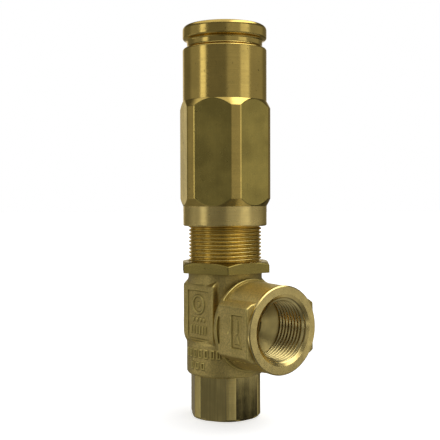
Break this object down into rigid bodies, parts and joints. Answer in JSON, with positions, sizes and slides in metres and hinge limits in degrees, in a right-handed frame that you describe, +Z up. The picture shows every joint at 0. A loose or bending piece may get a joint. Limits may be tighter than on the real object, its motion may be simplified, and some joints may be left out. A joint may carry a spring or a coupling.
{
  "type": "pressure relief valve",
  "caption": "Brass angle relief valve: screwed inlet below, screwed outlet at the side, ball on a spring-loaded seat, set by a hexagonal sleeve on a threaded stem with a lock nut.",
  "frame": {"origin": "centre of the inlet's lower face, on the valve's axis", "axes": "+Z up the valve's axis from the inlet to the sleeve's top, +X out of the side outlet"},
  "size_m": [0.071, 0.0528, 0.212],
  "materials": {
    "cast_brass": "hot-pressed and blasted, fine grain",
    "turned_brass": "turned and milled, satin",
    "nut_brass": "milled, dull",
    "stainless": "turned",
    "polished_steel": "polished",
    "spring_steel": "shot-peened, dark",
    "seal_rubber": "moulded, matt",
    "white_plastic": "moulded"
  },
  "bodies": {
    "housing": {"valve_body": "cast_brass", "inlet_fitting": "turned_brass", "inlet_o_ring": "seal_rubber", "valve_seat": "stainless", "seat_o_ring": "seal_rubber", "guide_bush": "turned_brass", "bush_o_ring": "seal_rubber", "rod_o_ring": "seal_rubber", "backup_ring": "white_plastic", "bush_circlip": "spring_steel", "spring": "spring_steel"},
    "closing_member": {"valve_ball": "polished_steel", "ball_carrier": "stainless", "push_rod": "stainless", "lower_spring_plate": "stainless"},
    "spring_head": {"upper_spring_plate": "stainless", "thrust_ball": "polished_steel"},
    "sleeve": {"adjusting_sleeve": "turned_brass", "thrust_pad": "stainless"},
    "nut": {"lock_nut": "nut_brass"}
  },
  "joints": [
    {"name": "poppet_lift", "type": "slide", "parent": "housing", "child": "closing_member", "axis": [0, 0, 1], "range_m": [0, 0.003], "stiffness_N_per_m": 24000, "springref_m": -0.001, "deforming": ["spring"]},
    {"name": "sleeve_travel", "type": "slide", "parent": "housing", "child": "spring_head", "axis": [0, 0, 1], "range_m": [-0.01, 0.004], "deforming": ["spring"]},
    {"name": "sleeve_turn", "type": "hinge", "parent": "spring_head", "child": "sleeve", "pos_m": [0, 0, 0.1037], "axis": [0, 0, 1], "range_deg": [-1800, 720]},
    {"name": "nut_travel", "type": "slide", "parent": "housing", "child": "nut", "axis": [0, 0, 1], "range_m": [0, 0.009]}
  ],
  "couplings": [
    {"joint": "sleeve_travel", "follows": "sleeve_turn", "m_per_rad": 0.00031831}
  ]
}
